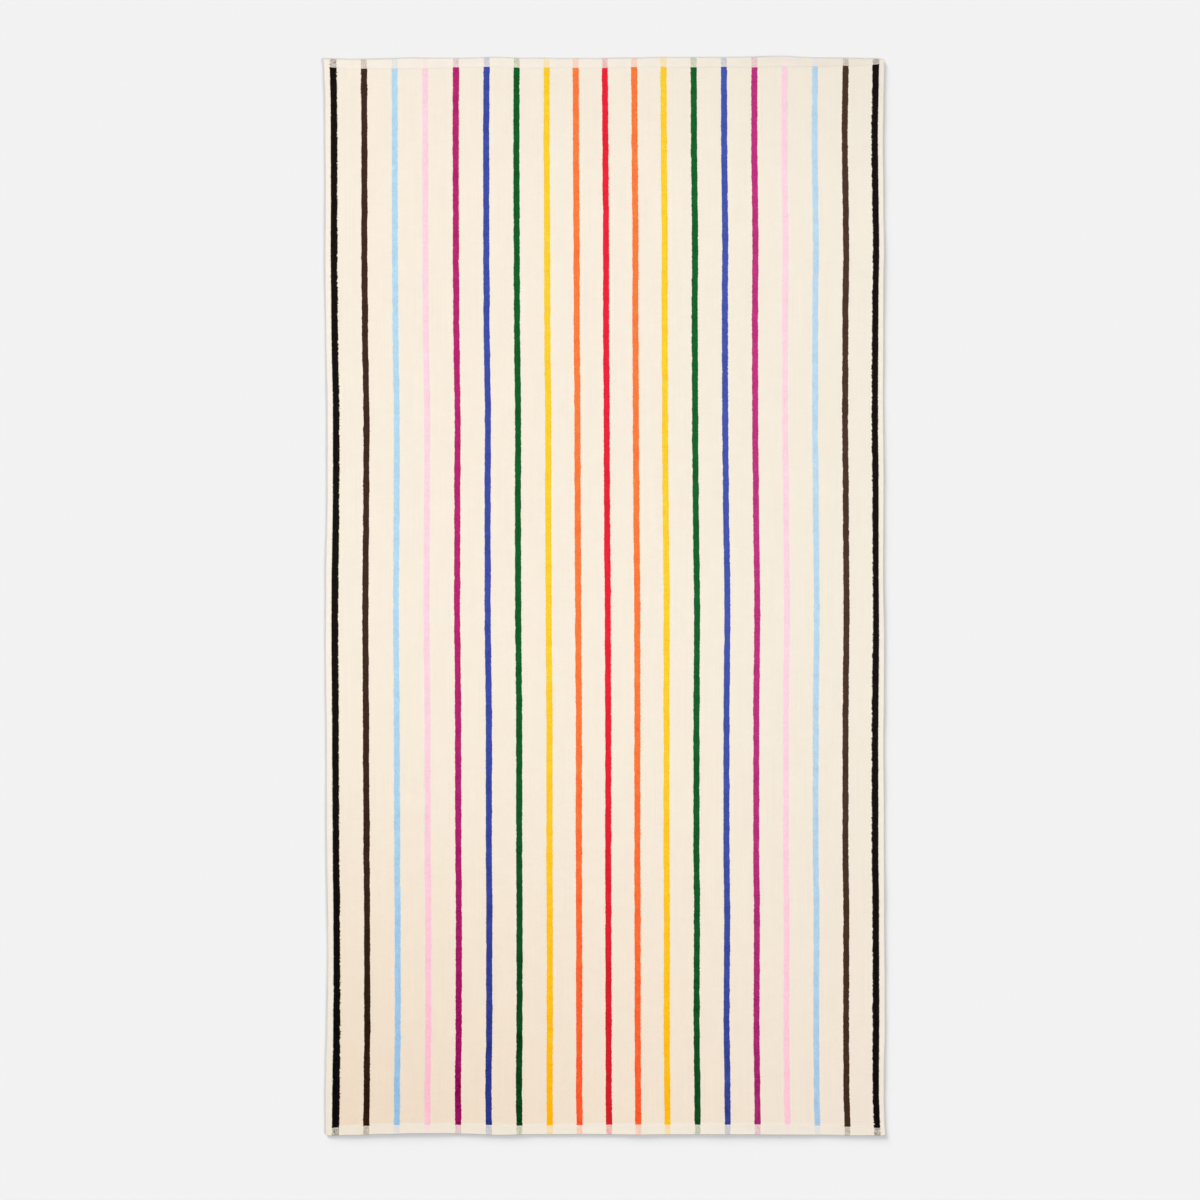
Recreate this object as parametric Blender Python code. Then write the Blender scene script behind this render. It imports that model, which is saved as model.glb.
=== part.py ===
"""A beach towel lying flat and face up.

One woven cloth: a sheared pile face with warp stripes, a looped back, and plain-woven margins that are
turned under twice and stitched as hems on all four sides. Metres, +Z up. The towel's length runs along
Y and its width along X, and the origin is on the surface it lies on, under the middle of its outline.
"""

import collections
import math

import bmesh
import bpy

MM = 0.001

# Driving dimensions
WIDTH = 916 * MM  # across the widest points of the outline
LENGTH = 1757 * MM  # between the farthest points of the two end hems
PILE_THICKNESS = 3.8 * MM  # looped back, ground weave and sheared face together
HEM_THICKNESS = 3.2 * MM  # three layers of the plain weave, stitched flat
SIDE_HEM = 9.2 * MM
CORNER_RADIUS = 3.0 * MM

# Across a hem
FOLD_ROUND = 1.0 * MM  # how far in from its edge the turned cloth is round
FOLD_FLAT = 3.0 * MM  # how far in from its edge the hem is at its full thickness
SEAM_INSET = 1.4 * MM  # from the pile's foot out to the seam
SEAM_DIP = 0.3 * MM  # how far the seam draws the hem down
PILE_ROUND = 0.9 * MM  # from the pile's foot in to its shoulder
PILE_FLAT = 3.2 * MM  # from the pile's foot in to its full height
SHOULDER = 0.75  # share of the pile's height at its shoulder

# The cloth between its hems is divided evenly
FIELD_COLUMNS = 32
FIELD_ROWS = 46

# Each long edge wanders inside WIDTH: one row for each place down the towel where it turns
SideEdge = collections.namedtuple("SideEdge", "from_top left_in right_in")
SIDE_EDGES_MM = (
    SideEdge(0, 0.0, 2.0),
    SideEdge(20, 1.8, 2.6),
    SideEdge(70, 3.4, 3.5),
    SideEdge(120, 3.6, 4.5),
    SideEdge(240, 4.2, 3.6),
    SideEdge(315, 3.6, 2.7),
    SideEdge(365, 3.9, 3.8),
    SideEdge(450, 4.8, 3.8),
    SideEdge(560, 7.0, 4.2),
    SideEdge(700, 7.2, 3.3),
    SideEdge(852, 4.7, 4.1),
    SideEdge(950, 4.2, 2.4),
    SideEdge(1040, 5.0, 2.8),
    SideEdge(1110, 5.7, 3.6),
    SideEdge(1240, 5.9, 2.8),
    SideEdge(1430, 8.1, 2.4),
    SideEdge(1500, 8.0, 1.5),
    SideEdge(1590, 6.4, 1.3),
    SideEdge(1640, 4.7, 2.8),
    SideEdge(1690, 4.0, 3.2),
    SideEdge(1735, 3.8, 2.2),
    SideEdge(1757, 3.6, 0.0),
)

# Each end wanders inside LENGTH: one row for each place across the towel where it turns
EndEdge = collections.namedtuple("EndEdge", "from_left top_in bottom_in")
END_EDGES_MM = (
    EndEdge(0, 4.0, 0.0),
    EndEdge(45, 5.1, 1.0),
    EndEdge(90, 4.6, 2.6),
    EndEdge(145, 3.1, 3.7),
    EndEdge(195, 3.0, 3.8),
    EndEdge(225, 3.4, 3.1),
    EndEdge(280, 1.7, 1.2),
    EndEdge(325, 3.2, 2.1),
    EndEdge(430, 3.6, 2.3),
    EndEdge(505, 3.2, 1.7),
    EndEdge(540, 1.9, 1.9),
    EndEdge(640, 1.8, 2.1),
    EndEdge(690, 1.5, 1.9),
    EndEdge(745, 0.0, 1.5),
    EndEdge(820, 2.5, 1.1),
    EndEdge(872, 3.4, 0.3),
    EndEdge(916, 4.2, 0.4),
)

# How wide the hem of each end is, from its edge in to the foot of the pile
EndHem = collections.namedtuple("EndHem", "from_left top bottom")
END_HEMS_MM = (
    EndHem(0, 14.2, 13.0),
    EndHem(66, 15.4, 14.8),
    EndHem(160, 17.3, 14.4),
    EndHem(214, 14.6, 14.5),
    EndHem(263, 15.0, 16.1),
    EndHem(313, 15.5, 14.7),
    EndHem(410, 15.2, 15.2),
    EndHem(458, 15.6, 16.0),
    EndHem(507, 14.6, 16.7),
    EndHem(604, 16.1, 16.1),
    EndHem(654, 15.5, 16.2),
    EndHem(703, 16.9, 16.6),
    EndHem(753, 16.7, 17.4),
    EndHem(802, 14.4, 15.3),
    EndHem(852, 12.4, 14.3),
    EndHem(916, 9.0, 12.4),
)

CREAM = (0.90, 0.82, 0.68, 1.0)
CLOTH_ROUGHNESS = 0.95
SMOOTH_ANGLE = math.radians(40)


def eased(share):
    return share * share * (3 - 2 * share)


def pair_at(table, place):
    """The two lengths that a table gives at a place, easing from each of its rows to the next."""
    place_mm = place / MM
    for before, after in zip(table, table[1:]):
        if place_mm <= after[0]:
            break
    share = eased(min((place_mm - before[0]) / (after[0] - before[0]), 1.0))
    return tuple((a + (b - a) * share) * MM for a, b in zip(before[1:], after[1:]))


def hem_section(hem):
    """(inset from the edge, height of the face) from a hem's turned edge to the full pile."""
    return (
        (0.0, HEM_THICKNESS / 2),
        (FOLD_ROUND, HEM_THICKNESS * 0.92),
        (FOLD_FLAT, HEM_THICKNESS),
        (hem - SEAM_INSET, HEM_THICKNESS - SEAM_DIP),
        (hem, HEM_THICKNESS),
        (hem + PILE_ROUND, HEM_THICKNESS + SHOULDER * (PILE_THICKNESS - HEM_THICKNESS)),
        (hem + PILE_FLAT, PILE_THICKNESS),
    )


def face_height(inset, hem):
    section = hem_section(hem)
    for (near, low), (far, high) in zip(section, section[1:]):
        if inset <= far:
            return low + (high - low) * (inset - near) / (far - near)
    return PILE_THICKNESS


def stations(size, near_hem, far_hem, divisions):
    """Distances from one edge to the other: the sections of both hems, and the field between them."""
    near = [inset for inset, _ in hem_section(near_hem)]
    far = [size - inset for inset, _ in reversed(hem_section(far_hem))]
    step = (far[0] - near[-1]) / divisions
    field = [near[-1] + step * i for i in range(1, divisions)]
    return near + field + far


def round_corner(from_left, from_top):
    """Draws a point near a corner inwards, so that the cloth's square rings become round there."""
    left = from_left < WIDTH / 2
    top = from_top < LENGTH / 2
    across = CORNER_RADIUS - (from_left if left else WIDTH - from_left)
    down = CORNER_RADIUS - (from_top if top else LENGTH - from_top)
    if across <= 0 or down <= 0:
        return from_left, from_top
    drawn = 1 - max(across, down) / math.hypot(across, down)
    from_left += drawn * across * (1 if left else -1)
    from_top += drawn * down * (1 if top else -1)
    return from_left, from_top


def place_on_floor(from_left, from_top):
    """The x and y of a point of the cloth, with its edges wandering as the tables say."""
    across, down = round_corner(from_left, from_top)
    left_in, right_in = pair_at(SIDE_EDGES_MM, down)
    top_in, bottom_in = pair_at(END_EDGES_MM, across)
    x = -WIDTH / 2 + across + left_in * (1 - across / WIDTH) - right_in * across / WIDTH
    y = LENGTH / 2 - down - top_in * (1 - down / LENGTH) + bottom_in * down / LENGTH
    return x, y


def face_vertices(bm):
    """A column of vertices for each station across the towel, on the face of the cloth."""
    columns = []
    for from_left in stations(WIDTH, SIDE_HEM, SIDE_HEM, FIELD_COLUMNS):
        side_height = face_height(min(from_left, WIDTH - from_left), SIDE_HEM)
        top_hem, bottom_hem = pair_at(END_HEMS_MM, from_left)
        column = []
        for from_top in stations(LENGTH, top_hem, bottom_hem, FIELD_ROWS):
            top_height = face_height(from_top, top_hem)
            bottom_height = face_height(LENGTH - from_top, bottom_hem)
            x, y = place_on_floor(from_left, from_top)
            column.append(bm.verts.new((x, y, min(side_height, top_height, bottom_height))))
        columns.append(column)
    return columns


def back_vertices(bm, face):
    """The vertices on the floor under those of the face. The turned edge belongs to both."""
    last_column, last_row = len(face) - 1, len(face[0]) - 1
    return [
        [
            vertex
            if column in (0, last_column) or row in (0, last_row)
            else bm.verts.new((vertex.co.x, vertex.co.y, 0))
            for row, vertex in enumerate(vertices)
        ]
        for column, vertices in enumerate(face)
    ]


def add_quads(bm, columns, facing_up):
    for left, right in zip(columns, columns[1:]):
        for i in range(len(left) - 1):
            corners = (left[i], left[i + 1], right[i + 1], right[i])
            bm.faces.new(corners if facing_up else corners[::-1])


def cloth_mesh():
    bm = bmesh.new()
    face = face_vertices(bm)
    back = back_vertices(bm, face)
    add_quads(bm, face, facing_up=True)
    add_quads(bm, back, facing_up=False)
    mesh = bpy.data.meshes.new("towel")
    bm.to_mesh(mesh)
    bm.free()
    mesh.shade_smooth()
    mesh.set_sharp_from_angle(angle=SMOOTH_ANGLE)
    return mesh


def cream_cloth():
    material = bpy.data.materials.new("cream cloth")
    material.use_nodes = True
    shader = material.node_tree.nodes["Principled BSDF"]
    shader.inputs["Base Color"].default_value = CREAM
    shader.inputs["Roughness"].default_value = CLOTH_ROUGHNESS
    shader.inputs["Metallic"].default_value = 0.0
    return material


def main():
    for obj in list(bpy.data.objects):
        bpy.data.objects.remove(obj)
    towel = bpy.data.objects.new("towel", cloth_mesh())
    towel.data.materials.append(cream_cloth())
    bpy.context.scene.collection.objects.link(towel)


main()
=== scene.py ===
"""A beach towel laid flat and face up, seen from straight above.

The cloth is one closed sheet. Its own coordinates are metres across from its left edge and metres down
from its top edge, and the tables below bend them onto the floor. Each point of the cloth also carries its
place in the weave, such as the nearest stripe and how far outside that stripe it lies, and the light and
shade
painted there: painted shade that deepens the colours towards the bottom and darkens the top end, cooler
painted light in the right half, and painted light along the pile's foot. The materials colour the yarns
from that.
"""

import collections
import math

import bpy
import numpy as np
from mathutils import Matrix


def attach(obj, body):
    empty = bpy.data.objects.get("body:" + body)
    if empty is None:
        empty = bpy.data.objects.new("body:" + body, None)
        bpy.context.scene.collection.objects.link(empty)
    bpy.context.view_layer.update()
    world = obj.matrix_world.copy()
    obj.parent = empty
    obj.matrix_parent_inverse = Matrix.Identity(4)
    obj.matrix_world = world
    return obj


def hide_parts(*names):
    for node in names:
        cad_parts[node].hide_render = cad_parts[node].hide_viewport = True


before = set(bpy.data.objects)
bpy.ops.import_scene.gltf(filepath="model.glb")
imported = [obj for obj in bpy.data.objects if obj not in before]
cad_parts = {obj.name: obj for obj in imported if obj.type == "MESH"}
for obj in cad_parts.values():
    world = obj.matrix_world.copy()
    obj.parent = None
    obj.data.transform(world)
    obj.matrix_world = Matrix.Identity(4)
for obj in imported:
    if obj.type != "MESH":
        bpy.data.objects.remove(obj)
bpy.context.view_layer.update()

MM = 0.001

# The cloth, with the sizes of the CAD part
WIDTH = 916 * MM
LENGTH = 1757 * MM
PILE_THICKNESS = 3.8 * MM
HEM_THICKNESS = 3.2 * MM
SIDE_HEM = 9.2 * MM
SEAM_INSET = 1.4 * MM  # from the pile's foot out to the seam
CORNER_RADIUS = 3.0 * MM

# Each long edge wanders inside WIDTH
SideEdge = collections.namedtuple("SideEdge", "from_top left_in right_in")
SIDE_EDGES_MM = (
    SideEdge(0, 0.0, 2.0),
    SideEdge(20, 1.8, 2.6),
    SideEdge(70, 3.4, 3.5),
    SideEdge(120, 3.6, 4.5),
    SideEdge(240, 4.2, 3.6),
    SideEdge(315, 3.6, 2.7),
    SideEdge(365, 3.9, 3.8),
    SideEdge(450, 4.8, 3.8),
    SideEdge(560, 7.0, 4.2),
    SideEdge(700, 7.2, 3.3),
    SideEdge(852, 4.7, 4.1),
    SideEdge(950, 4.2, 2.4),
    SideEdge(1040, 5.0, 2.8),
    SideEdge(1110, 5.7, 3.6),
    SideEdge(1240, 5.9, 2.8),
    SideEdge(1430, 8.1, 2.4),
    SideEdge(1500, 8.0, 1.5),
    SideEdge(1590, 6.4, 1.3),
    SideEdge(1640, 4.7, 2.8),
    SideEdge(1690, 4.0, 3.2),
    SideEdge(1735, 3.8, 2.2),
    SideEdge(1757, 3.6, 0.0),
)

# Each end wanders inside LENGTH
EndEdge = collections.namedtuple("EndEdge", "from_left top_in bottom_in")
END_EDGES_MM = (
    EndEdge(0, 4.0, 0.0),
    EndEdge(45, 5.1, 1.0),
    EndEdge(90, 4.6, 2.6),
    EndEdge(145, 3.1, 3.7),
    EndEdge(195, 3.0, 3.8),
    EndEdge(225, 3.4, 3.1),
    EndEdge(280, 1.7, 1.2),
    EndEdge(325, 3.2, 2.1),
    EndEdge(430, 3.6, 2.3),
    EndEdge(505, 3.2, 1.7),
    EndEdge(540, 1.9, 1.9),
    EndEdge(640, 1.8, 2.1),
    EndEdge(690, 1.5, 1.9),
    EndEdge(745, 0.0, 1.5),
    EndEdge(820, 2.5, 1.1),
    EndEdge(872, 3.4, 0.3),
    EndEdge(916, 4.2, 0.4),
)

# How wide the hem of each end is, from its edge in to the foot of the pile
EndHem = collections.namedtuple("EndHem", "from_left top bottom")
END_HEMS_MM = (
    EndHem(0, 14.2, 13.0),
    EndHem(66, 15.4, 14.8),
    EndHem(160, 17.3, 14.4),
    EndHem(214, 14.6, 14.5),
    EndHem(263, 15.0, 16.1),
    EndHem(313, 15.5, 14.7),
    EndHem(410, 15.2, 15.2),
    EndHem(458, 15.6, 16.0),
    EndHem(507, 14.6, 16.7),
    EndHem(604, 16.1, 16.1),
    EndHem(654, 15.5, 16.2),
    EndHem(703, 16.9, 16.6),
    EndHem(753, 16.7, 17.4),
    EndHem(802, 14.4, 15.3),
    EndHem(852, 12.4, 14.3),
    EndHem(916, 9.0, 12.4),
)

# The stripes are numbered from the middle one, 0, to the outermost ones, which lie against the side hems
OUTERMOST = 9
STRIPE_WIDTH = 9.3 * MM
OUTERMOST_WIDTH = 10.8 * MM
PALE_STRIPES = (6, 7)  # pink and light blue, which are a little narrower
PALE_WIDTH = 8.8 * MM
INNER_STRIPES = 2  # so many each side of the middle lie a little closer together
INNER_PITCH = 48.1 * MM
OUTER_PITCH = (
    WIDTH / 2 - SIDE_HEM - OUTERMOST_WIDTH / 2 - INNER_STRIPES * INNER_PITCH
) / (OUTERMOST - INNER_STRIPES)

# How far to the right the warp is drawn at five of the stripes, down the towel
Warp = collections.namedtuple("Warp", "from_top left_edge left middle right right_edge")
WARP_STRIPES = (-9, -4, 0, 4, 9)
WARP_MM = (
    Warp(0, 2.1, 4.0, 0.7, -0.8, -1.1),
    Warp(120, 3.3, 3.0, 1.5, -0.5, -3.0),
    Warp(315, 3.2, 3.3, 2.8, 1.3, -0.7),
    Warp(410, 4.0, 3.7, 2.8, 0.7, -2.0),
    Warp(605, 6.9, 6.0, 3.8, 1.3, -2.8),
    Warp(705, 6.6, 5.4, 4.3, 2.4, -1.7),
    Warp(900, 4.6, 5.6, 5.5, 5.0, -0.9),
    Warp(1095, 5.5, 7.5, 6.3, 3.4, -2.5),
    Warp(1290, 6.5, 7.5, 6.3, 3.3, -2.6),
    Warp(1390, 7.5, 8.2, 6.5, 4.5, -1.3),
    Warp(1585, 8.0, 8.0, 6.9, 3.6, -1.3),
    Warp(1680, 7.1, 6.7, 7.1, 5.0, -1.1),
    Warp(1757, 6.0, 7.4, 8.0, 5.5, 1.2),
)

# Across a hem
RIM_ROUND = 1.5 * MM  # how far in from the edge the fold is round
FOLD_FLAT = 3.0 * MM  # how far in from the edge the hem is at its full thickness
FOLD_DROP = 0.15 * MM  # how far its face falls from there to the fold
SEAM_DIP = 0.2 * MM
SEAM_SPREAD = 0.6 * MM
PILE_RISE_MM = (0.0, 0.35, 0.9, 2.0, 3.2)  # from the pile's foot in
PILE_RISE_SHARE = (0.0, 0.5, 0.8, 0.95, 1.0)  # of the pile's height there
GROOVE_DEPTH = 0.9 * MM  # on the back, where the hem's inner fold meets the loops
GROOVE_SPREAD = 0.7 * MM
LAYER_GROOVE = 0.3 * MM  # between the layers of an end hem, where they show at its two open ends

# The mesh. Besides these it has lines of vertices along the pile's rise
EDGE_LINES = (RIM_ROUND, 2.2 * MM, 4.4 * MM)  # in from the edge
FOOT_LINES = (-2.6 * MM, -1.9 * MM, -SEAM_INSET, -0.9 * MM, -0.35 * MM)  # in from the pile's foot
HEM_CELLS = len(EDGE_LINES) + len(FOOT_LINES)  # so many cells lie outside the pile's foot
GAP_COLUMNS = 4  # in each gap between two stripes
FIELD_ROWS = 300
RIM_ANGLES = (60, 38, 19.5, 0, -19.5, -38, -60)  # round the fold, from the face to the back
LAYER_ANGLES = (19.5, -19.5)  # where the grooves between the layers are

# The cloth lies in low ripples. Their crests come so many mm apart across it and down it, and slant one way
# or, where one of these is below 0, the other
Ripple = collections.namedtuple("Ripple", "across down height phase")
RIPPLES_MM = (
    Ripple(520, 610, 0.22, 0.4),
    Ripple(-410, 330, 0.16, 2.1),
    Ripple(190, -900, 0.10, 4.0),
    Ripple(900, 170, 0.12, 1.2),
)
EDGE_RIPPLES_MM = (
    Ripple(118, 260, 0.20, 0.6),
    Ripple(-67, 143, 0.14, 3.3),
    Ripple(205, -97, 0.16, 5.2),
)
EDGE_RIPPLE_REACH = 45 * MM

# The colours deepen towards the bottom of the towel, most at its left side: painted shade where the light
# falls off
PALE_TO = 0.88  # metres down, as far as the colours are pale
DEEP_AT = 1.70  # metres down, where they have deepened by the depths below
DEEPENING = 1.4  # the power by which they do
LEFT_DEPTH = 1.6
RIGHT_DEPTH = 0.85

# Painted shade: the towel is a little darker towards its top end, most at its right corner, where less
# light falls
LEFT_SHADE = 0.3  # of the right corner's
SHADE_REACH = 0.25  # metres down, as far as it is darker

SIDE_HEM_SHARE = 0.5  # of the right half's cooler painted light, in the hem on that side

# How far in from its foot the undyed pile is painted paler towards the weave's colour: painted light along
# the pile's edge
LIT_FOOT_AT_BOTTOM = 3.6 * MM
LIT_FOOT_AT_TOP = 1.8 * MM


def eased(share):
    return share * share * (3 - 2 * share)


def columns_at(table, place):
    """The lengths that a table gives at each of the places, easing from each of its rows to the next."""
    rows = np.array(table) * MM
    after = np.clip(np.searchsorted(rows[:, 0], place), 1, len(rows) - 1)
    near, far = rows[after - 1], rows[after]
    share = (place - near[..., 0]) / (far[..., 0] - near[..., 0])
    share = eased(np.clip(share, 0, 1))[..., None]
    found = near[..., 1:] * (1 - share) + far[..., 1:] * share
    return np.moveaxis(found, -1, 0)


def stripe_offset(number):
    """How far right of the cloth's middle a stripe's own middle is."""
    steps = abs(number)
    inner = min(steps, INNER_STRIPES)
    return math.copysign(inner * INNER_PITCH + (steps - inner) * OUTER_PITCH, number)


def stripe_width(number):
    if abs(number) in PALE_STRIPES:
        return PALE_WIDTH
    return OUTERMOST_WIDTH if abs(number) == OUTERMOST else STRIPE_WIDTH


def stripe_number(across):
    """The number of the stripe at a place across the cloth, with fractions between the stripes."""
    offset = across - WIDTH / 2
    inner = np.minimum(np.abs(offset) / INNER_PITCH, INNER_STRIPES)
    outer = np.maximum(np.abs(offset) - INNER_STRIPES * INNER_PITCH, 0) / OUTER_PITCH
    return np.sign(offset) * (inner + outer)


def beyond_stripe(across):
    """How far outside the nearest stripe a place is, which is below 0 inside it."""
    offset = across - WIDTH / 2
    distances = [
        np.abs(offset - stripe_offset(n)) - stripe_width(n) / 2
        for n in range(-OUTERMOST, OUTERMOST + 1)
    ]
    return np.min(distances, axis=0)


def painted_shade_depth(across, down):
    """Painted shade where the light falls off: 0 where the colours are pale, 1 where they are deep, and
    more in the bottom left corner.
    """
    left_share = (1 - across / WIDTH) ** 2
    sideways = RIGHT_DEPTH + (LEFT_DEPTH - RIGHT_DEPTH) * left_share
    return sideways * np.clip((down - PALE_TO) / (DEEP_AT - PALE_TO), 0, None) ** DEEPENING


def painted_top_shade(across, down):
    """Painted shade: 1 at the top right corner, and 0 below the towel's top end."""
    sideways = LEFT_SHADE + (1 - LEFT_SHADE) * across / WIDTH
    return sideways * eased(np.clip(1 - down / SHADE_REACH, 0, 1))


def from_foot(across, down):
    """How far in from the pile's foot a place is. The top counts as farther in, as less of it is painted
    paler.
    """
    top_hem, bottom_hem = columns_at(END_HEMS_MM, across)
    return np.minimum(LENGTH - bottom_hem - down, down - top_hem + LIT_FOOT_AT_BOTTOM - LIT_FOOT_AT_TOP)


def cool_light_share(across):
    """Share of the cooler painted light: 0 in the left half of the towel, 1 towards its right edge, and
    less again in the hem there.
    """
    in_side_hem = across > WIDTH - SIDE_HEM
    return eased(np.clip(2 * across / WIDTH - 1, 0, 1)) * np.where(in_side_hem, SIDE_HEM_SHARE, 1)


def round_corners(across, down):
    """Draws the points near a corner inwards, so that the cloth's square rings become round there."""
    right = np.where(across > WIDTH / 2, -1, 1)
    below = np.where(down > LENGTH / 2, -1, 1)
    from_side = CORNER_RADIUS - np.where(right > 0, across, WIDTH - across)
    from_end = CORNER_RADIUS - np.where(below > 0, down, LENGTH - down)
    near = (from_side > 0) & (from_end > 0)
    far = np.where(near, np.hypot(from_side, from_end), 1)
    drawn = np.where(near, 1 - np.maximum(from_side, from_end) / far, 0)
    return across + right * drawn * from_side, down + below * drawn * from_end


def warp_shift(across, down):
    """How far right of its even place in WIDTH each point of the cloth lies."""
    left_in, right_in = columns_at(SIDE_EDGES_MM, down)
    places = [0, *(WIDTH / 2 + stripe_offset(n) for n in WARP_STRIPES), WIDTH]
    shifts = [left_in, *columns_at(WARP_MM, down), -right_in]
    shift = left_in
    for near, far, before, after in zip(places, places[1:], shifts, shifts[1:]):
        shift = shift + (after - before) * np.clip((across - near) / (far - near), 0, 1)
    return shift


def placed(across, down, height):
    """The points of the cloth in the part's frame, one row of x, y and z for each."""
    across, down = round_corners(across, down)
    top_in, bottom_in = columns_at(END_EDGES_MM, across)
    x = -WIDTH / 2 + across + warp_shift(across, down)
    y = LENGTH / 2 - down - top_in * (1 - down / LENGTH) + bottom_in * down / LENGTH
    return np.stack([x, y, height], axis=-1)


def ripple(ripples, across, down):
    """The height of a few low waves, never below 0."""
    height = 0
    for wave in ripples:
        turns = across / (wave.across * MM) + down / (wave.down * MM)
        height = height + wave.height * MM * (1 + np.sin(2 * math.pi * turns + wave.phase))
    return height


def edge_distance(across, down):
    return np.minimum(np.minimum(across, WIDTH - across), np.minimum(down, LENGTH - down))


def lift(across, down):
    """How far the cloth's underside stands off the floor."""
    near_edge = np.exp(-edge_distance(across, down) / EDGE_RIPPLE_REACH)
    wide = ripple(RIPPLES_MM, across, down)
    return wide + near_edge * ripple(EDGE_RIPPLES_MM, across, down)


def insets(across, down):
    """(how far in from an edge, how wide that edge's hem is) for the sides and for each end."""
    top_hem, bottom_hem = columns_at(END_HEMS_MM, across)
    return (
        (np.minimum(across, WIDTH - across), SIDE_HEM),
        (down, top_hem),
        (LENGTH - down, bottom_hem),
    )


def hem_height(inset, hem):
    """The height of the face over one hem and the pile's foot."""
    past_foot = inset - hem
    turned = np.clip((FOLD_FLAT - inset) / (FOLD_FLAT - RIM_ROUND), 0, 1)
    seam = np.exp(-(((past_foot + SEAM_INSET) / SEAM_SPREAD) ** 2))
    risen = np.interp(past_foot / MM, PILE_RISE_MM, PILE_RISE_SHARE)
    pile = (PILE_THICKNESS - HEM_THICKNESS) * risen
    return HEM_THICKNESS - FOLD_DROP * turned**2 - SEAM_DIP * seam + pile


def face_height(across, down):
    heights = [hem_height(inset, hem) for inset, hem in insets(across, down)]
    return np.min(heights, axis=0) + lift(across, down)


def back_height(across, down):
    """The underside, with a groove along each hem's inner fold and a dip at each seam."""
    heights = []
    for inset, hem in insets(across, down):
        past_foot = inset - hem
        groove = GROOVE_DEPTH * np.exp(-((past_foot / GROOVE_SPREAD) ** 2))
        seam = SEAM_DIP * np.exp(-(((past_foot + SEAM_INSET) / SEAM_SPREAD) ** 2))
        heights.append(groove + seam)
    return np.max(heights, axis=0) + lift(across, down)


def hem_section(hem):
    """Distances in from an edge at which the cloth has a line of vertices, for hems of these widths."""
    hem = np.asarray(hem)
    near_edge = [np.full_like(hem, inset) for inset in EDGE_LINES]
    near_foot = [hem + past for past in FOOT_LINES]
    in_pile = [hem + past * MM for past in PILE_RISE_MM]
    return np.stack([*near_edge, *near_foot, *in_pile])


def cloth_columns():
    """Distances from the left edge at which the cloth has a line of vertices down it."""
    left = hem_section(SIDE_HEM)
    places = []
    for number in range(-OUTERMOST, OUTERMOST + 1):
        middle = WIDTH / 2 + stripe_offset(number)
        half = stripe_width(number) / 2
        places += [middle, middle + half]
        if number < OUTERMOST:
            end = WIDTH / 2 + stripe_offset(number + 1) - stripe_width(number + 1) / 2
            places += list(np.linspace(middle + half, end, GAP_COLUMNS + 1)[1:])
    field = [p for p in places if left[-1] < p < WIDTH - left[-1]]
    return np.concatenate([left, field, WIDTH - left[::-1]])


def cloth_grid():
    """Cloth coordinates of a grid of vertices: row by row down the cloth, and across it in each row."""
    across = cloth_columns()
    top_hem, bottom_hem = columns_at(END_HEMS_MM, across)
    top = hem_section(top_hem)
    bottom = LENGTH - hem_section(bottom_hem)[::-1]
    shares = np.linspace(0, 1, FIELD_ROWS + 1)[1:-1, None]
    field = top[-1] * (1 - shares) + bottom[0] * shares
    down = np.concatenate([top, field, bottom])
    return np.broadcast_to(across, down.shape), down


def round_the_edge(rows, columns):
    """Row and column numbers of the grid's outer vertices, clockwise from the top left."""
    top = [(0, i) for i in range(columns)]
    right = [(j, columns - 1) for j in range(1, rows)]
    bottom = [(rows - 1, i) for i in range(columns - 2, -1, -1)]
    left = [(j, 0) for j in range(rows - 2, 0, -1)]
    return np.array(top + right + bottom + left)


def rim_rings(across, down, edge, face_z, back_z):
    """Cloth coordinates and heights of the rings of vertices round the turned edge, from face to back."""
    rows, columns = across.shape
    row, column = edge[:, 0], edge[:, 1]
    outwards = np.where(column == 0, -1, np.where(column == columns - 1, 1, 0))
    endwards = np.where(row == 0, -1, np.where(row == rows - 1, 1, 0))
    across, down = across[row, column], down[row, column]
    top_hem, bottom_hem = columns_at(END_HEMS_MM, across)
    layered = (outwards != 0) & ((down < top_hem) | (down > LENGTH - bottom_hem))
    rings = []
    for angle in RIM_ANGLES:
        out = RIM_ROUND * math.cos(math.radians(angle))
        out = out - layered * LAYER_GROOVE * (angle in LAYER_ANGLES)
        share = (1 + math.sin(math.radians(angle))) / 2
        z = back_z[row, column] * (1 - share) + face_z[row, column] * share
        rings.append((across + outwards * out, down + endwards * out, z))
    return rings


def grid_quads(rows, columns, start, facing_up):
    """Quads between the vertices of a grid numbered row by row from start."""
    numbers = start + np.arange(rows * columns).reshape(rows, columns)
    quads = [numbers[:-1, :-1], numbers[1:, :-1], numbers[1:, 1:], numbers[:-1, 1:]]
    quads = np.stack(quads, axis=-1).reshape(-1, 4)
    return quads if facing_up else quads[:, ::-1]


def ring_quads(rings):
    """Quads between rings of vertex numbers, clockwise seen from above, each ring lower than the last."""
    quads = []
    for upper, lower in zip(rings, rings[1:]):
        quads.append(np.stack([upper, np.roll(upper, -1), np.roll(lower, -1), lower], axis=-1))
    return np.concatenate(quads)


def in_hem(rows, columns):
    """Whether each cell of the grid lies in a hem."""
    row, column = np.meshgrid(range(rows - 1), range(columns - 1), indexing="ij")
    rows_in = np.minimum(row, rows - 2 - row)
    columns_in = np.minimum(column, columns - 2 - column)
    return (np.minimum(rows_in, columns_in) < HEM_CELLS).ravel()


def mesh_of(name, points, faces, materials, slots=None):
    mesh = bpy.data.meshes.new(name)
    mesh.from_pydata(points.tolist(), [], faces.tolist())
    for material in materials:
        mesh.materials.append(material)
    if slots is not None:
        mesh.polygons.foreach_set("material_index", slots.astype(np.int32))
    mesh.shade_smooth()
    return mesh


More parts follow.
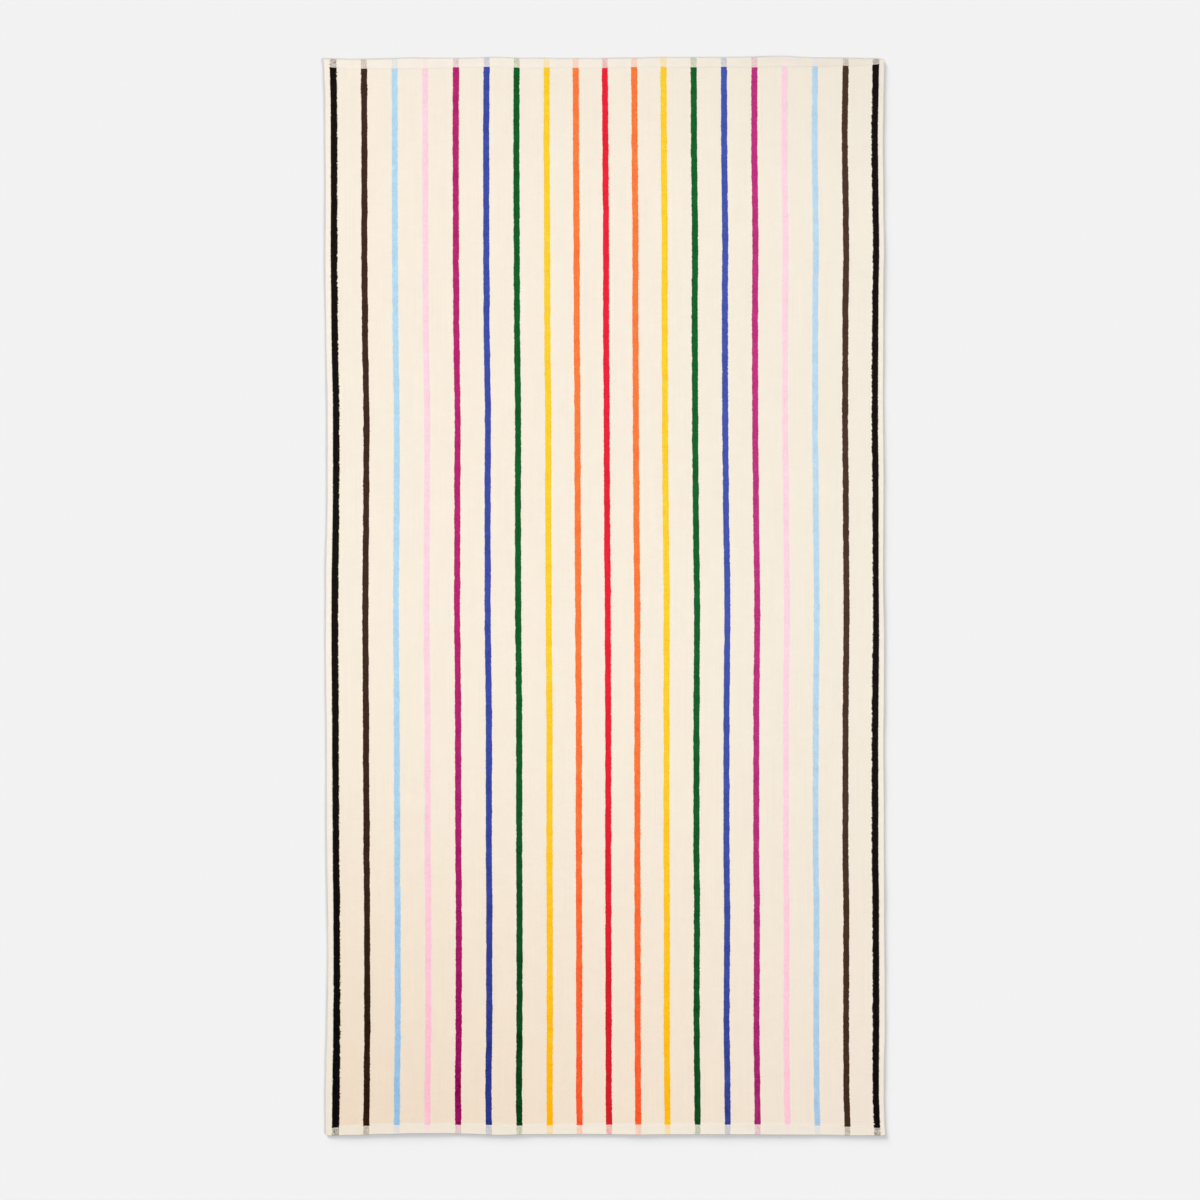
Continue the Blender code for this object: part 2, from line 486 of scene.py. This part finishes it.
def add_weave_attributes(mesh, across, down):
    """Gives each vertex its place in the weave and the light and shade painted there, for the materials."""
    values = {
        "stripe": stripe_number(across),
        "beyond": beyond_stripe(across),
        "depth": painted_shade_depth(across, down),
        "right": cool_light_share(across),
        "top_shade": painted_top_shade(across, down),
        "foot": from_foot(across, down),
    }
    for name, value in values.items():
        attribute = mesh.attributes.new(name, "FLOAT", "POINT")
        attribute.data.foreach_set("value", value.astype(np.float32))
    place = mesh.attributes.new("cloth", "FLOAT_VECTOR", "POINT")
    places = np.stack([across, down, np.zeros_like(down)], axis=-1)
    place.data.foreach_set("vector", places.astype(np.float32).ravel())


def added(name, mesh):
    obj = bpy.data.objects.new(name, mesh)
    bpy.context.scene.collection.objects.link(obj)
    return obj


PILE, WEAVE, LOOPS = range(3)  # the cloth's material slots


def cloth_piece(pile, weave, loops):
    across, down = cloth_grid()
    rows, columns = across.shape
    size = rows * columns
    face_z, back_z = face_height(across, down), back_height(across, down)
    edge = round_the_edge(rows, columns)
    rings = rim_rings(across, down, edge, face_z, back_z)
    flat_across = np.concatenate([across.ravel()] * 2 + [ring[0] for ring in rings])
    flat_down = np.concatenate([down.ravel()] * 2 + [ring[1] for ring in rings])
    heights = [face_z.ravel(), back_z.ravel(), *(ring[2] for ring in rings)]
    points = placed(flat_across, flat_down, np.concatenate(heights))

    edge_numbers = edge[:, 0] * columns + edge[:, 1]
    ring_numbers = [
        2 * size + k * len(edge) + np.arange(len(edge)) for k in range(len(rings))
    ]
    rim = ring_quads([edge_numbers, *ring_numbers, size + edge_numbers])
    face = grid_quads(rows, columns, 0, facing_up=True)
    back = grid_quads(rows, columns, size, facing_up=False)
    hem = in_hem(rows, columns)
    face_slots, back_slots = np.where(hem, WEAVE, PILE), np.where(hem, WEAVE, LOOPS)
    slots = np.concatenate([face_slots, back_slots, np.full(len(rim), WEAVE)])
    faces = np.concatenate([face, back, rim])
    mesh = mesh_of("towel_cloth", points, faces, (pile, weave, loops), slots)
    add_weave_attributes(mesh, flat_across, flat_down)
    return added("towel_cloth", mesh)


# ---- Sewing thread ----

SEAM_START = 2.0 * MM  # from the cloth's edge to a seam's first stitch
STITCH_PITCH = 3.0 * MM
STITCH_LENGTH = 2.5 * MM
STITCH_LENGTH_SPREAD = 0.08  # of it, either way
STITCH_SKEW = 0.06  # sideways, of its length
THREAD_RADIUS = 0.24 * MM
THREAD_SIDES = 5
THREAD_ALONG = (-0.5, -0.36, 0.0, 0.36, 0.5)  # of the stitch's length
THREAD_THICKNESS = (0.35, 0.9, 1.0, 0.9, 0.35)  # of its radius
THREAD_LIFT_MM = (-0.28, 0.02, 0.14, 0.02, -0.28)  # of its middle line over the cloth
THREAD_TIP = 1.04  # how much farther along than its end rings a stitch's tips are
FACE_SEED, BACK_SEED = 7, 8


def stitch_places():
    """How far across and down each stitch's middle is, and 1 if its seam runs down the towel, else 0."""
    stitches = []
    sides = np.arange(SEAM_START, LENGTH - SEAM_START, STITCH_PITCH)
    for across in (SIDE_HEM - SEAM_INSET, WIDTH - SIDE_HEM + SEAM_INSET):
        stitches.append(np.stack([np.full_like(sides, across), sides, np.ones_like(sides)]))
    ends = np.arange(SEAM_START, WIDTH - SEAM_START, STITCH_PITCH)
    top_hem, bottom_hem = columns_at(END_HEMS_MM, ends)
    for down in (top_hem - SEAM_INSET, LENGTH - bottom_hem + SEAM_INSET):
        stitches.append(np.stack([ends, down, np.zeros_like(ends)]))
    return np.concatenate(stitches, axis=1)


def tube_faces(count, rings, sides):
    """Faces of many like tubes, each numbered ring by ring, with a tip vertex at each end."""
    one = []
    for ring in range(rings - 1):
        for side in range(sides):
            after = (side + 1) % sides
            near, far = ring * sides, (ring + 1) * sides
            one.append((near + side, near + after, far + after))
            one.append((near + side, far + after, far + side))
    first, last = rings * sides, rings * sides + 1
    for side in range(sides):
        after = (side + 1) % sides
        one.append((first, after, side))
        one.append((last, (rings - 1) * sides + side, (rings - 1) * sides + after))
    each = rings * sides + 2
    starts = np.arange(count)[:, None, None] * each
    return (starts + np.array(one)[None]).reshape(-1, 3)


def thread_piece(name, side, thread):
    """The stitches that show on the face, side 1, or on the back, side -1, as one mesh."""
    across, down, downwards = stitch_places()
    random = np.random.default_rng(FACE_SEED if side > 0 else BACK_SEED)
    shortest, longest = 1 - STITCH_LENGTH_SPREAD, 1 + STITCH_LENGTH_SPREAD
    length = STITCH_LENGTH * random.uniform(shortest, longest, across.shape)[:, None]
    skew = random.normal(0, STITCH_SKEW, across.shape)[:, None]
    runs_down = downwards[:, None] > 0
    mirrored = side * np.where(runs_down, 1, -1)
    rings = []
    for share, thick, rise in zip(THREAD_ALONG, THREAD_THICKNESS, THREAD_LIFT_MM):
        for angle in np.arange(THREAD_SIDES) * 2 * math.pi / THREAD_SIDES:
            radius = THREAD_RADIUS * thick
            rings.append((share, radius * math.cos(angle), radius * math.sin(angle) + rise * MM))
    for end in (0, -1):
        rings.append((THREAD_ALONG[end] * THREAD_TIP, 0.0, THREAD_LIFT_MM[end] * MM))
    share, radial, upwards = np.array(rings).T
    along = share * length
    sideways = mirrored * radial + skew * along
    point_across = across[:, None] + np.where(runs_down, sideways, along)
    point_down = down[:, None] + np.where(runs_down, along, sideways)
    surface = face_height(across, down) if side > 0 else back_height(across, down)
    height = surface[:, None] + side * upwards
    points = placed(point_across.ravel(), point_down.ravel(), height.ravel())
    faces = tube_faces(len(across), len(THREAD_ALONG), THREAD_SIDES)
    mesh = mesh_of(name, points, faces, (thread,))
    add_weave_attributes(mesh, point_across.ravel(), point_down.ravel())
    return added(name, mesh)


# ---- Tufts along the edge of the pile ----

TUFT_PITCH = 1.5 * MM
TUFT_RADIUS = 0.85 * MM
TUFT_SIDES = 6
TUFT_GIRTH = (0.8, 1.0, 0.7)  # of its radius, ring by ring from the lowest
TUFT_RISE_MM = (-1.0, -0.45, -0.08)  # of the rings, from the tuft's full height
TUFT_ENDS_MM = (-1.2, 0.05)  # of its two tips, from there
TUFT_GIRTH_SPREAD = 0.15  # of its radius, either way
TUFT_SHIFT = 0.16 * MM  # of its place, at random
TUFT_HEIGHT_SHIFT = 0.07 * MM
END_TUFTS_SEED, SIDE_TUFTS_SEED = 21, 22

# How far in from the pile's foot each row of tufts stands, and how far below the pile's full height
TuftRow = collections.namedtuple("TuftRow", "inset drop")
TUFT_ROWS_MM = (TuftRow(0.6, 0.30), TuftRow(1.9, 0.05))


def tuft_places(ends, inset, random):
    """Where the tufts of one row stand, along both ends of the pile or along both its sides."""
    if ends:
        across = np.arange(SIDE_HEM, WIDTH - SIDE_HEM, TUFT_PITCH)
        top_hem, bottom_hem = columns_at(END_HEMS_MM, across)
        near, far = top_hem + inset, LENGTH - bottom_hem - inset
        places = np.array([np.tile(across, 2), np.concatenate([near, far])])
    else:
        top_hem, bottom_hem = columns_at(END_HEMS_MM, np.array([SIDE_HEM, WIDTH - SIDE_HEM]))
        sides = []
        for side, top, bottom in zip((SIDE_HEM + inset, WIDTH - SIDE_HEM - inset), top_hem, bottom_hem):
            down = np.arange(top, LENGTH - bottom, TUFT_PITCH)
            sides.append(np.stack([np.full_like(down, side), down]))
        places = np.concatenate(sides, axis=1)
    return places + random.normal(0, TUFT_SHIFT, places.shape)


def tuft_piece(name, ends, pile):
    """Cut tufts standing close together along the pile's foot, as one mesh."""
    random = np.random.default_rng(END_TUFTS_SEED if ends else SIDE_TUFTS_SEED)
    places = [tuft_places(ends, row.inset * MM, random) for row in TUFT_ROWS_MM]
    drops = [np.full(place.shape[1], row.drop * MM) for place, row in zip(places, TUFT_ROWS_MM)]
    across, down = np.concatenate(places, axis=1)
    thinnest, thickest = 1 - TUFT_GIRTH_SPREAD, 1 + TUFT_GIRTH_SPREAD
    girth = random.uniform(thinnest, thickest, across.shape)[:, None]
    turn = random.uniform(0, 2 * math.pi, across.shape)[:, None]
    rise = random.normal(0, TUFT_HEIGHT_SHIFT, across.shape)[:, None]
    rings = []
    for wide, high in zip(TUFT_GIRTH, TUFT_RISE_MM):
        for angle in np.arange(TUFT_SIDES) * 2 * math.pi / TUFT_SIDES:
            rings.append((TUFT_RADIUS * wide, angle, high * MM))
    rings += [(0, 0, high * MM) for high in TUFT_ENDS_MM]
    radius, angle, high = np.array(rings).T
    point_across = across[:, None] + girth * radius * np.cos(angle + turn)
    point_down = down[:, None] - girth * radius * np.sin(angle + turn)
    full = PILE_THICKNESS + lift(across, down) - np.concatenate(drops)
    height = full[:, None] + rise + high
    points = placed(point_across.ravel(), point_down.ravel(), height.ravel())
    mesh = mesh_of(name, points, tube_faces(len(across), len(TUFT_GIRTH), TUFT_SIDES), (pile,))
    add_weave_attributes(mesh, point_across.ravel(), point_down.ravel())
    return added(name, mesh)


# ---- Colours and materials ----

LIGHT_LEVEL = 1.11  # what a white surface shines at where the towel lies
PILE_SHADE = 0.97  # of the light, what the shade between the tufts leaves

# From the middle stripe outwards, as sRGB seen in the photograph. pale and hem_pale are the yarns as lit
# higher up the towel, deep and hem_deep the same yarns in painted shade where the light falls off towards
# its bottom.
# on_right is how much paler the stripe is in the right half of the towel
Yarn = collections.namedtuple("Yarn", "name pale deep hem_pale hem_deep on_right", defaults=[(0, 0, 0)])
YARNS = (
    Yarn("red", (236, 38, 57), (207, 33, 43), (245, 202, 196), (236, 185, 178)),
    Yarn("orange", (252, 125, 63), (250, 92, 45), (254, 219, 198), (248, 209, 189)),
    Yarn("yellow", (253, 209, 49), (253, 187, 19), (255, 234, 187), (248, 222, 171)),
    Yarn("green", (21, 94, 42), (12, 68, 28), (216, 219, 193), (198, 203, 179), (4, 4, 3)),
    Yarn("blue", (64, 79, 167), (47, 59, 135), (218, 216, 221), (205, 201, 208), (6, 7, 6)),
    Yarn("magenta", (186, 40, 112), (155, 23, 93), (240, 213, 212), (229, 197, 199), (6, 13, 14)),
    Yarn("pink", (254, 214, 227), (253, 195, 212), (253, 237, 229), (245, 225, 219)),
    Yarn("light blue", (181, 219, 242), (158, 199, 231), (237, 237, 232), (228, 224, 221), (7, -1, -4)),
    Yarn("brown", (64, 44, 35), (49, 31, 22), (220, 208, 196), (197, 182, 168), (12, 10, 8)),
    Yarn("black", (26, 20, 18), (18, 14, 13), (198, 189, 178), (175, 168, 157)),
)

# Undyed cotton, in the left half of the towel and at its right edge. The right columns are the cotton in
# cooler painted light, the deep columns the same cotton in painted shade where the light falls off
Cotton = collections.namedtuple("Cotton", "left_pale left_deep right_pale right_deep")
GROUND = Cotton((249, 238, 221), (242, 226, 206), (244, 235.5, 219.5), (240, 225.5, 210))
HEM = Cotton((252, 243, 230), (245, 235, 220), (243, 235, 220), (240, 230, 216))

THREAD_COLOUR = (249, 240, 228)

# The cloth is uneven by noises: the mm across and down of their grains, and how strongly each one acts
Noise = collections.namedtuple("Noise", "across down amount detail roughness", defaults=[0.0, 0.5])

# On the edges of the stripes, in metres
EDGE_WANDER = Noise(6, 20, 1.5 * MM)
EDGE_TEETH = Noise(3, 2.6, 1.9 * MM)
ROUGH_FROM = OUTERMOST - 1  # the outermost stripes, outside this number, have deeper teeth
OUTERMOST_TEETH = 2.4 * MM  # by so much

# On the depth of the dyes
DYE_PATCHES = Noise(30, 30, 2.7, detail=4.0, roughness=1.0)
GROUND_PATCHES = 1.0  # how strongly those act in the undyed pile
PILE_ROWS = Noise(5, 1.7, 1.1)

# On how much of the dye shows, in the pile and in the hems
LINT = Noise(2.2, 2.8, 0.02)
TRACE_SPECKS = Noise(1.7, 4, 1.6)
TRACE_YARNS = Noise(0.7, 9, 2.2, detail=1.0)

# On the light, painted into the colour: shade in the hollows of the relief that TUFTS, NAP, WEFT_YARNS and
# THREAD_TWIST also raise, and random tone from the others
TUFTS = Noise(0.8, 1.1, 0.4, detail=1.0)
NAP = Noise(28, 60, 0.03, detail=2.0)
WARP_LINES = Noise(2.2, 160, 0.05)
WEFT_YARNS = Noise(3.5, 0.7, 0.12, detail=1.0)
HEM_PATCHES = Noise(25, 9, 0.06)
LOOP_FUZZ = Noise(0.9, 0.9, 0.2)
THREAD_TWIST = Noise(0.3, 0.3, 0.3)

SHADE_DEEPEST = 1.25  # but for the noises, the stripes' painted shade deepens no further than this
HEM_SHADE = 0.4  # how much of the deep shade the top end's painted shade adds in its hem
DARKEST = 0.045  # how much of the light the top right corner lacks
# The painted light along the pile's foot: how wide its blend is, and how far towards the weave's colour it
# goes
LIT_FOOT_BLEND = 1.2 * MM
LIT_FOOT_PALENESS = 0.8

# How wide the blend at a stripe's edges is
PILE_BLEND = 0.4 * MM
HEM_BLEND = 0.6 * MM
LOOP_BLEND = 1.2 * MM
PILE_SPREAD = 0.4 * MM  # how far a stripe's pile leans out over its neighbours

# The plain weave
WEAVE_PITCH = 0.9 * MM
# painted shade in the weave's troughs, by this much
WEAVE_SHADES = 0.03
WEAVE_TRACES = 0.7  # how much more of the dye shows on its crests

# The loops of the back
LOOP_ACROSS = 1.5 * MM
LOOP_DOWN = 2.2 * MM
LOOP_DISORDER = 0.75
# painted shade between the loops, by this much
LOOP_SHADES = 0.35

# The relief that is finer than the mesh: how high each stands, and shares of that for what it is made of
PILE_RELIEF = 0.5 * MM
NAP_SHARE = 1.5
WEAVE_RELIEF = 0.25 * MM
CREST_SHARE = 0.5
YARN_SHARE = 0.8
LOOP_RELIEF = 1.2 * MM
TWIST_RELIEF = 0.1 * MM

MIX_FIRST, MIX_SECOND, MIX_RESULT = 6, 7, 2  # the colour sockets of a Mix node


def reflectance(seen):
    """The colour of cloth that looks like these sRGB values in the scene's light."""
    shares = [value / 255 for value in seen]
    linear = [s / 12.92 if s <= 0.04045 else ((s + 0.055) / 1.055) ** 2.4 for s in shares]
    return (*(min(value / (LIGHT_LEVEL * PILE_SHADE), 1) for value in linear), 1)


def add(tree, kind, inputs=(), **settings):
    """Adds a node, sets it up, and gives its inputs values or links."""
    made = tree.nodes.new("ShaderNode" + kind)
    for name, value in settings.items():
        setattr(made, name, value)
    for key, value in dict(inputs).items():
        if isinstance(value, bpy.types.NodeSocket):
            tree.links.new(value, made.inputs[key])
        else:
            made.inputs[key].default_value = value
    return made


def calc(tree, operation, *values, clamp=False):
    return add(tree, "Math", enumerate(values), operation=operation, use_clamp=clamp).outputs[0]


def varied(tree, level, *variations):
    """The level with each variation added, as strongly as the amount beside it says."""
    for variation, amount in variations:
        level = calc(tree, "MULTIPLY_ADD", variation, amount, level)
    return level


def blended(tree, share, first, second, kind="MIX", **settings):
    inputs = {"Factor": share, MIX_FIRST: first, MIX_SECOND: second}
    mix = add(tree, "Mix", inputs, data_type="RGBA", blend_type=kind, **settings)
    return mix.outputs[MIX_RESULT]


def attribute(tree, name, output="Fac"):
    return add(tree, "Attribute", attribute_name=name).outputs[output]


def cloth_place(tree, across, down):
    """The place on the cloth, counted in cells of this size."""
    inputs = {0: attribute(tree, "cloth", "Vector"), 1: (1 / across, 1 / down, 1)}
    return add(tree, "VectorMath", inputs, operation="MULTIPLY").outputs[0]


def uneven(tree, noise):
    """One of the noises above, round 0, and its amount."""
    place = cloth_place(tree, noise.across * MM, noise.down * MM)
    kind = {"Vector": place, "Scale": 1.0, "Detail": noise.detail, "Roughness": noise.roughness}
    made = add(tree, "TexNoise", kind)
    return calc(tree, "SUBTRACT", made.outputs["Fac"], 0.5), noise.amount


def stripe_colour(number, shade):
    yarn = YARNS[abs(number)]
    paler = yarn.on_right if number > 0 and shade in ("pale", "deep") else (0, 0, 0)
    return reflectance([level + more for level, more in zip(getattr(yarn, shade), paler)])


def stripe_ramp(tree, shade):
    """The colour of the nearest stripe's yarn in the given shade."""
    count = 2 * OUTERMOST + 1
    from_left = calc(tree, "ADD", attribute(tree, "stripe"), count / 2)
    ramp = add(tree, "ValToRGB", {"Fac": calc(tree, "DIVIDE", from_left, count)})
    ramp.color_ramp.interpolation = "CONSTANT"
    stops = ramp.color_ramp.elements
    for i in range(count):
        stop = stops[i] if i < 1 else stops.new(i / count)
        stop.position = i / count
        stop.color = stripe_colour(i - OUTERMOST, shade)
    stops.remove(stops[-1])
    return ramp.outputs["Color"]


def stripe_mask(tree, blend, spread=0.0):
    """1 in the stripes and 0 between them, with edges as uneven as woven ones."""
    from_middle = calc(tree, "ABSOLUTE", attribute(tree, "stripe"))
    outermost = calc(tree, "SUBTRACT", from_middle, ROUGH_FROM, clamp=True)
    teeth, depth = uneven(tree, EDGE_TEETH)
    depth = calc(tree, "MULTIPLY_ADD", outermost, OUTERMOST_TEETH, depth)
    beyond = varied(tree, attribute(tree, "beyond"), uneven(tree, EDGE_WANDER), (teeth, depth))
    inside = calc(tree, "DIVIDE", calc(tree, "SUBTRACT", spread, beyond), blend)
    return calc(tree, "ADD", inside, 0.5, clamp=True)


def shaded(tree, colour, *variations):
    """The colour made lighter and darker by variations round 0, and given painted shade at the top end."""
    level = varied(tree, 1.0, (attribute(tree, "top_shade"), -DARKEST), *variations)
    return blended(tree, 1.0, colour, level, kind="MULTIPLY")


def at_depth(tree, depth, pale, deep):
    """The colour at a depth of painted shade and random tone, which may lie beyond the deep one or short of
    the pale one.
    """
    return blended(tree, depth, pale, deep, clamp_factor=False, clamp_result=True)


def dyed(tree, *variations):
    """The colour of the pile or the loops in the stripes."""
    # The depth attribute is painted shade where the light falls off; the noises add random tone
    depth = calc(tree, "MINIMUM", attribute(tree, "depth"), SHADE_DEEPEST)
    depth = varied(tree, depth, *variations, uneven(tree, PILE_ROWS))
    return at_depth(tree, depth, stripe_ramp(tree, "pale"), stripe_ramp(tree, "deep"))


def painted_shade_in_hem(tree):
    # The painted shade of the bottom, deepened by the painted shade of the top end
    return varied(tree, attribute(tree, "depth"), (attribute(tree, "top_shade"), HEM_SHADE))


def dyed_in_hem(tree):
    """The colour of the stripes where they run on without pile."""
    depth = calc(tree, "MINIMUM", painted_shade_in_hem(tree), 1.0)
    return at_depth(tree, depth, stripe_ramp(tree, "hem_pale"), stripe_ramp(tree, "hem_deep"))


def undyed(tree, cotton, depth):
    # The right attribute blends in the cotton's colours in cooler painted light
    left = at_depth(tree, depth, reflectance(cotton.left_pale), reflectance(cotton.left_deep))
    right = at_depth(tree, depth, reflectance(cotton.right_pale), reflectance(cotton.right_deep))
    return blended(tree, attribute(tree, "right"), left, right)


def new_material(name, roughness, sheen=0.0):
    material = bpy.data.materials.new(name)
    material.use_nodes = True
    shader = material.node_tree.nodes["Principled BSDF"]
    shader.inputs["Specular IOR Level"].default_value = 0.0
    shader.inputs["Roughness"].default_value = roughness
    shader.inputs["Sheen Weight"].default_value = sheen
    return material, material.node_tree, shader


def dress(tree, shader, colour, height, relief):
    """Gives a material its colour, and a fine relief in which a height of 1 stands this high."""
    bump = add(tree, "Bump", {"Height": height, "Distance": relief, "Strength": 1.0})
    tree.links.new(colour, shader.inputs["Base Color"])
    tree.links.new(bump.outputs["Normal"], shader.inputs["Normal"])


def pile_ground(tree, patches):
    """The colour of the undyed pile, paler along its foot at both ends as painted light."""
    depth = varied(tree, attribute(tree, "depth"), (patches, GROUND_PATCHES))
    from_lit_foot = calc(tree, "SUBTRACT", LIT_FOOT_AT_BOTTOM, attribute(tree, "foot"))
    lit_foot = calc(tree, "DIVIDE", from_lit_foot, LIT_FOOT_BLEND, clamp=True)
    lit_foot = calc(tree, "MULTIPLY", lit_foot, LIT_FOOT_PALENESS)
    return blended(tree, lit_foot, undyed(tree, GROUND, depth), undyed(tree, HEM, painted_shade_in_hem(tree)))


def sheared_pile():
    material, tree, shader = new_material("sheared pile", roughness=1.0, sheen=0.05)
    shader.inputs["Sheen Roughness"].default_value = 0.35
    patches, patch_depth = uneven(tree, DYE_PATCHES)
    ground = pile_ground(tree, patches)
    stripes = dyed(tree, (patches, patch_depth))
    mask = stripe_mask(tree, PILE_BLEND, PILE_SPREAD)
    mask = calc(tree, "MULTIPLY", mask, varied(tree, 1.0, uneven(tree, LINT)))
    colour = blended(tree, mask, ground, stripes, clamp_factor=False, clamp_result=True)
    tufts, nap = uneven(tree, TUFTS), uneven(tree, NAP)
    colour = shaded(tree, colour, tufts, uneven(tree, WARP_LINES), nap)
    dress(tree, shader, colour, varied(tree, tufts[0], (nap[0], NAP_SHARE)), PILE_RELIEF)
    return material


def weave_height(tree):
    """Between -1 and 1, from the troughs to the crests of a plain weave."""
    place = add(tree, "SeparateXYZ", {0: attribute(tree, "cloth", "Vector")})
    turn = math.pi / WEAVE_PITCH
    across = calc(tree, "SINE", calc(tree, "MULTIPLY", place.outputs["X"], turn))
    down = calc(tree, "SINE", calc(tree, "MULTIPLY", place.outputs["Y"], turn))
    return calc(tree, "MULTIPLY", across, down)


def plain_weave():
    material, tree, shader = new_material("plain weave", roughness=0.9, sheen=0.03)
    crests = weave_height(tree)
    traces = uneven(tree, TRACE_SPECKS), uneven(tree, TRACE_YARNS), (crests, WEAVE_TRACES)
    mask = calc(tree, "MULTIPLY", stripe_mask(tree, HEM_BLEND), varied(tree, 1.0, *traces))
    ground = undyed(tree, HEM, painted_shade_in_hem(tree))
    colour = blended(tree, mask, ground, dyed_in_hem(tree), clamp_factor=False)
    yarns = uneven(tree, WEFT_YARNS)
    colour = shaded(tree, colour, (crests, WEAVE_SHADES), yarns, uneven(tree, HEM_PATCHES))
    height = varied(tree, 0.0, (crests, CREST_SHARE), (yarns[0], YARN_SHARE))
    dress(tree, shader, colour, height, WEAVE_RELIEF)
    return material


def terry_loops():
    material, tree, shader = new_material("terry loops", roughness=1.0, sheen=0.05)
    ground = undyed(tree, GROUND, attribute(tree, "depth"))
    colour = blended(tree, stripe_mask(tree, LOOP_BLEND), ground, dyed(tree))
    place = cloth_place(tree, LOOP_ACROSS, LOOP_DOWN)
    cells = add(tree, "TexVoronoi", {"Vector": place, "Scale": 1.0, "Randomness": LOOP_DISORDER})
    loops = calc(tree, "MULTIPLY", cells.outputs["Distance"], -1.0)
    colour = shaded(tree, colour, (loops, LOOP_SHADES), uneven(tree, LOOP_FUZZ))
    dress(tree, shader, colour, loops, LOOP_RELIEF)
    return material


def cotton_thread():
    material, tree, shader = new_material("cotton thread", roughness=0.7)
    twist = uneven(tree, THREAD_TWIST)
    dress(tree, shader, shaded(tree, reflectance(THREAD_COLOUR), twist), twist[0], TWIST_RELIEF)
    return material


# ---- The studio ----

FLOOR_SIZE = 40.0
FLOOR_DROP = 0.1 * MM  # how far it lies below the part's origin
FLOOR_REFLECTANCE = 0.35
STUDIO_LEVEL = 0.888  # the grey of the floor and of all that lies beyond it

# Each lamp is far away: its share of the light on a level surface, its height in degrees, its direction
# from straight behind the top end round to the left, and how wide it is
Light = collections.namedtuple("Light", "name share elevation azimuth width")
FLOOR_LIGHTS = (
    Light("floor sky", 0.15, 90, 0, 180),
    Light("floor overhead", 0.24, 68, 2, 24),
    Light("floor key", 0.36, 20, 32, 26),
    Light("floor fill", 0.25, 40, 238, 15),
)
CLOTH_LIGHTS = (
    Light("cloth sky", 0.30, 90, 0, 180),
    Light("cloth overhead", 0.48, 88, 180, 30),
    Light("cloth key", 0.14, 40, 190, 40),
    Light("cloth fill", 0.08, 40, 5, 40),
)

CAMERA_LENS = 85
CAMERA_SENSOR = 36
VIEW_WIDTH = 1.9536  # how many metres the picture takes in, at the height of the hems
VIEW_CENTRE = (-7.1 * MM, -6.5 * MM)


def studio_floor():
    half = FLOOR_SIZE / 2
    corners = ((-half, -half), (half, -half), (half, half), (-half, half))
    points = np.array([(x, y, -FLOOR_DROP) for x, y in corners])
    material, _, shader = new_material("studio floor", roughness=1.0)
    shader.inputs["Base Color"].default_value = (*[FLOOR_REFLECTANCE] * 3, 1)
    floor = added("studio_floor", mesh_of("studio_floor", points, np.array([(0, 1, 2, 3)]), (material,)))
    return floor


def studio_world():
    """The grey that shows beyond the floor. The lamps give all the light."""
    world = bpy.data.worlds.new("studio")
    world.use_nodes = True
    world.node_tree.nodes["Background"].inputs["Color"].default_value = (*[STUDIO_LEVEL] * 3, 1)
    world.cycles_visibility.diffuse = False
    world.cycles_visibility.glossy = False
    bpy.context.scene.world = world


def lit_only(lamp, objects):
    """Makes a lamp light these objects and nothing else."""
    receivers = bpy.data.collections.new(lamp.name + " lights")
    for obj in objects:
        receivers.objects.link(obj)
    lamp.light_linking.receiver_collection = receivers


def studio_lights(lights, level, objects):
    """Lights the objects so that a white level surface shines at this level."""
    for light in lights:
        data = bpy.data.lights.new(light.name, "SUN")
        data.angle = math.radians(light.width)
        data.energy = math.pi * level * light.share / math.sin(math.radians(light.elevation))
        lamp = added(light.name, data)
        tilt = math.radians(90 - light.elevation)
        lamp.rotation_euler = (tilt, 0, math.radians(180 + light.azimuth))
        lit_only(lamp, objects)


def studio_camera():
    """Looks straight down, as in the photograph."""
    data = bpy.data.cameras.new("camera")
    data.lens = CAMERA_LENS
    data.sensor_width = CAMERA_SENSOR
    camera = added("camera", data)
    height = VIEW_WIDTH * CAMERA_LENS / CAMERA_SENSOR + HEM_THICKNESS
    camera.location = (*VIEW_CENTRE, height)
    bpy.context.scene.camera = camera


pile = sheared_pile()
cloth = cloth_piece(pile, plain_weave(), terry_loops())
thread = cotton_thread()
trims = [
    thread_piece("hem_seams_face", 1, thread),
    thread_piece("hem_seams_back", -1, thread),
    tuft_piece("pile_edge_ends", True, pile),
    tuft_piece("pile_edge_sides", False, pile),
]

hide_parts("towel")
for piece in (cloth, *trims):
    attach(piece, "root")

floor = studio_floor()
studio_world()
studio_lights(FLOOR_LIGHTS, STUDIO_LEVEL / FLOOR_REFLECTANCE, [floor])
studio_lights(CLOTH_LIGHTS, LIGHT_LEVEL, [cloth, *trims])
studio_camera()
bpy.context.scene.view_settings.view_transform = "Standard"
